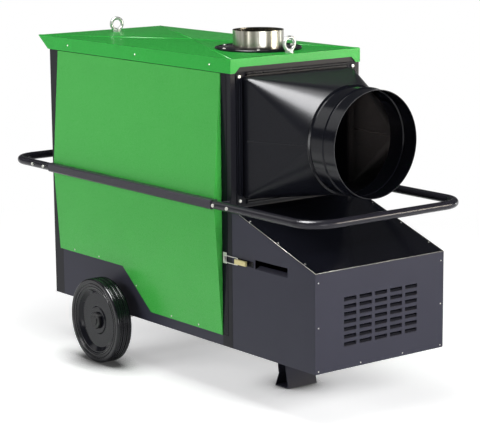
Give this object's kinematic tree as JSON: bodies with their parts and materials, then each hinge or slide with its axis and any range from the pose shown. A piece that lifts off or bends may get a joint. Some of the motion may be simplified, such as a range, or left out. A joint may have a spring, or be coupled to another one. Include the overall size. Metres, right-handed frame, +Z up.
{
  "type": "indirect-fired construction heater",
  "caption": "Wheeled oil-fired air heater: green sheet-metal body, black burner cover with louvres, square-to-round air outlet, flue stub, lifting eyes and a tubular rail.",
  "frame": {"origin": "on the floor, under the middle of the part's overall box", "axes": "+X forward to the air outlet, +Y to the left side, +Z up"},
  "size_m": [2.064, 0.867, 1.373],
  "materials": {
    "green_paint": "gloss powder coat, leaf green",
    "black_paint": "satin powder coat, anthracite",
    "gloss_black": "gloss black enamel",
    "rail_paint": "satin black powder coat",
    "stainless": "brushed stainless sheet",
    "zinc": "bright zinc plate",
    "yellow_zinc": "yellow passivated zinc plate",
    "tyre": "black solid rubber",
    "black_plastic": "moulded black plastic",
    "wire": "black coated wire",
    "cast_alloy": "cast and turned light alloy"
  },
  "bodies": {
    "chassis": {"axle": "zinc", "axle_brackets": "black_paint", "axle_retainers": "zinc", "base_pan": "black_paint", "bulkhead": "black_paint", "burner_housing": "cast_alloy", "burner_motor": "cast_alloy", "burner_relay": "black_plastic", "burner_tube": "cast_alloy", "chamber_cradles": "black_paint", "clamp_strips": "gloss_black", "combustion_chamber": "stainless", "control_box": "black_plastic", "corner_posts": "black_paint", "exchanger_tubes": "stainless", "fan_motor": "cast_alloy", "flue_collar": "stainless", "flue_gas_box": "stainless", "flue_rosette": "gloss_black", "front_bow": "rail_paint", "fuel_pump": "cast_alloy", "hood_bolts": "zinc", "intake_guard": "wire", "latch_keepers": "zinc", "lid": "green_paint", "lifting_eyes": "zinc", "motor_pedestal": "black_paint", "outlet_collar": "gloss_black", "outlet_flange": "gloss_black", "outlet_hood": "gloss_black", "power_inlet": "black_plastic", "rail_bolts": "zinc", "rail_spacers": "rail_paint", "rear_bow": "rail_paint", "rear_gas_box": "stainless", "rear_panel": "black_paint", "roof_beams": "black_paint", "side_liners": "black_paint", "side_panel_left": "green_paint", "side_panel_right": "green_paint", "side_rails": "rail_paint", "support_foot": "black_paint"},
    "burner_cover": {"cover_side_left": "black_paint", "cover_side_right": "black_paint", "cover_top": "gloss_black", "cover_front": "black_paint", "latch_bases": "black_plastic"},
    "latch_lever_left": {"latch_lever_left": "yellow_zinc"},
    "latch_lever_right": {"latch_lever_right": "yellow_zinc"},
    "latch_bail_left": {"latch_bail_left": "zinc"},
    "latch_bail_right": {"latch_bail_right": "zinc"},
    "wheel_left": {"tyre_left": "tyre", "wheel_disc_left": "gloss_black", "hub_cap_left": "black_plastic"},
    "wheel_right": {"tyre_right": "tyre", "wheel_disc_right": "gloss_black", "hub_cap_right": "black_plastic"},
    "fan": {"fan_impeller": "cast_alloy"},
    "blower": {"blower_wheel": "cast_alloy"},
    "main_switch": {"switch_knob": "black_plastic"}
  },
  "joints": [
    {"name": "wheel_left_spin", "type": "hinge", "parent": "chassis", "child": "wheel_left", "pos_m": [-0.3044, 0.3985, 0.1743], "axis": [0, 1, 0], "continuous": true},
    {"name": "wheel_right_spin", "type": "hinge", "parent": "chassis", "child": "wheel_right", "pos_m": [-0.3044, -0.3985, 0.1743], "axis": [0, 1, 0], "continuous": true},
    {"name": "fan_spin", "type": "hinge", "parent": "chassis", "child": "fan", "pos_m": [-0.694, 0, 0.72], "axis": [1, 0, 0], "continuous": true},
    {"name": "blower_spin", "type": "hinge", "parent": "chassis", "child": "blower", "pos_m": [0.64, 0, 0.43], "axis": [0, 1, 0], "continuous": true},
    {"name": "cover_draw", "type": "slide", "parent": "chassis", "child": "burner_cover", "axis": [1, 0, 0], "range_m": [0, 0.5]},
    {"name": "main_switch_turn", "type": "hinge", "parent": "chassis", "child": "main_switch", "pos_m": [-0.847, 0.055, 0.355], "axis": [-1, 0, 0], "range_deg": [-45, 45]},
    {"name": "latch_lever_left_swing", "type": "hinge", "parent": "burner_cover", "child": "latch_lever_left", "pos_m": [0.512, 0.326, 0.543], "axis": [0, 0, 1], "range_deg": [0, 120]},
    {"name": "latch_bail_left_swing", "type": "hinge", "parent": "latch_lever_left", "child": "latch_bail_left", "pos_m": [0.52, 0.326, 0.543], "axis": [0, 0, 1], "range_deg": [-120, 0]},
    {"name": "latch_lever_right_swing", "type": "hinge", "parent": "burner_cover", "child": "latch_lever_right", "pos_m": [0.512, -0.326, 0.543], "axis": [0, 0, -1], "range_deg": [0, 120]},
    {"name": "latch_bail_right_swing", "type": "hinge", "parent": "latch_lever_right", "child": "latch_bail_right", "pos_m": [0.52, -0.326, 0.543], "axis": [0, 0, -1], "range_deg": [-120, 0]}
  ],
  "couplings": [
    {"joint": "latch_bail_left_swing", "follows": "latch_lever_left_swing", "ratio": -1},
    {"joint": "latch_bail_right_swing", "follows": "latch_lever_right_swing", "ratio": -1}
  ]
}
